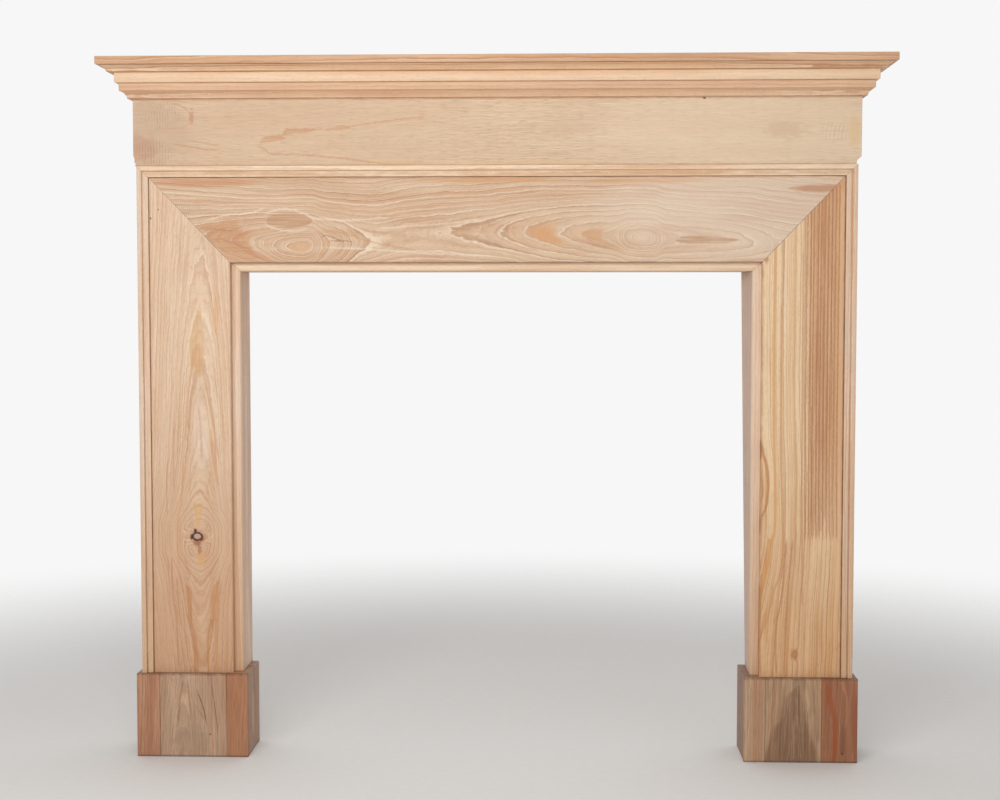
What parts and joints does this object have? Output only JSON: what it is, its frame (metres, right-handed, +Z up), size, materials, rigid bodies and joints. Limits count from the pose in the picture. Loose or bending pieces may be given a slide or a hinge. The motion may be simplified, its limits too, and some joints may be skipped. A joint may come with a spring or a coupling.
{
  "type": "fireplace mantelpiece",
  "caption": "Unfinished pine fire surround: mitred flat casing with bead and backband round the opening, plain frieze, stepped cornice with shelf, square plinths.",
  "frame": {"origin": "centre of the bounding box at the bottom: on the floor, midway between the legs and midway between the wall plane and the shelf's front edge", "axes": "+X to the right along the shelf as seen from the room, +Y back into the wall, +Z up"},
  "size_m": [1.524, 0.174, 1.3655],
  "materials": {
    "pine_cornice": "planed softwood, unfinished, reddish",
    "pine_frieze": "planed softwood, unfinished, greyish beige",
    "pine_trim": "planed softwood mouldings, unfinished",
    "pine_casing": "planed softwood boards with bold grain, unfinished",
    "pine_lining": "planed softwood, unfinished",
    "pine_plinth": "edge-glued softwood strips, unfinished"
  },
  "bodies": {
    "root": {"shelf": "pine_cornice", "cove_front": "pine_cornice", "cove_left": "pine_cornice", "cove_right": "pine_cornice", "fascia_front": "pine_cornice", "fascia_left": "pine_cornice", "fascia_right": "pine_cornice", "bed_front": "pine_cornice", "bed_left": "pine_cornice", "bed_right": "pine_cornice", "frieze": "pine_frieze", "band_left": "pine_trim", "band_head": "pine_trim", "band_right": "pine_trim", "casing_left": "pine_casing", "casing_head": "pine_casing", "casing_right": "pine_casing", "bead_left": "pine_trim", "bead_head": "pine_trim", "bead_right": "pine_trim", "jamb_left": "pine_lining", "jamb_right": "pine_lining", "soffit": "pine_lining", "side_left": "pine_lining", "side_right": "pine_lining", "plinth_left_face_a": "pine_plinth", "plinth_left_face_b": "pine_plinth", "plinth_left_face_c": "pine_plinth", "plinth_left_inner": "pine_plinth", "plinth_left_outer": "pine_plinth", "plinth_left_top": "pine_plinth", "plinth_right_face_a": "pine_plinth", "plinth_right_face_b": "pine_plinth", "plinth_right_face_c": "pine_plinth", "plinth_right_inner": "pine_plinth", "plinth_right_outer": "pine_plinth", "plinth_right_top": "pine_plinth"}
  },
  "joints": []
}
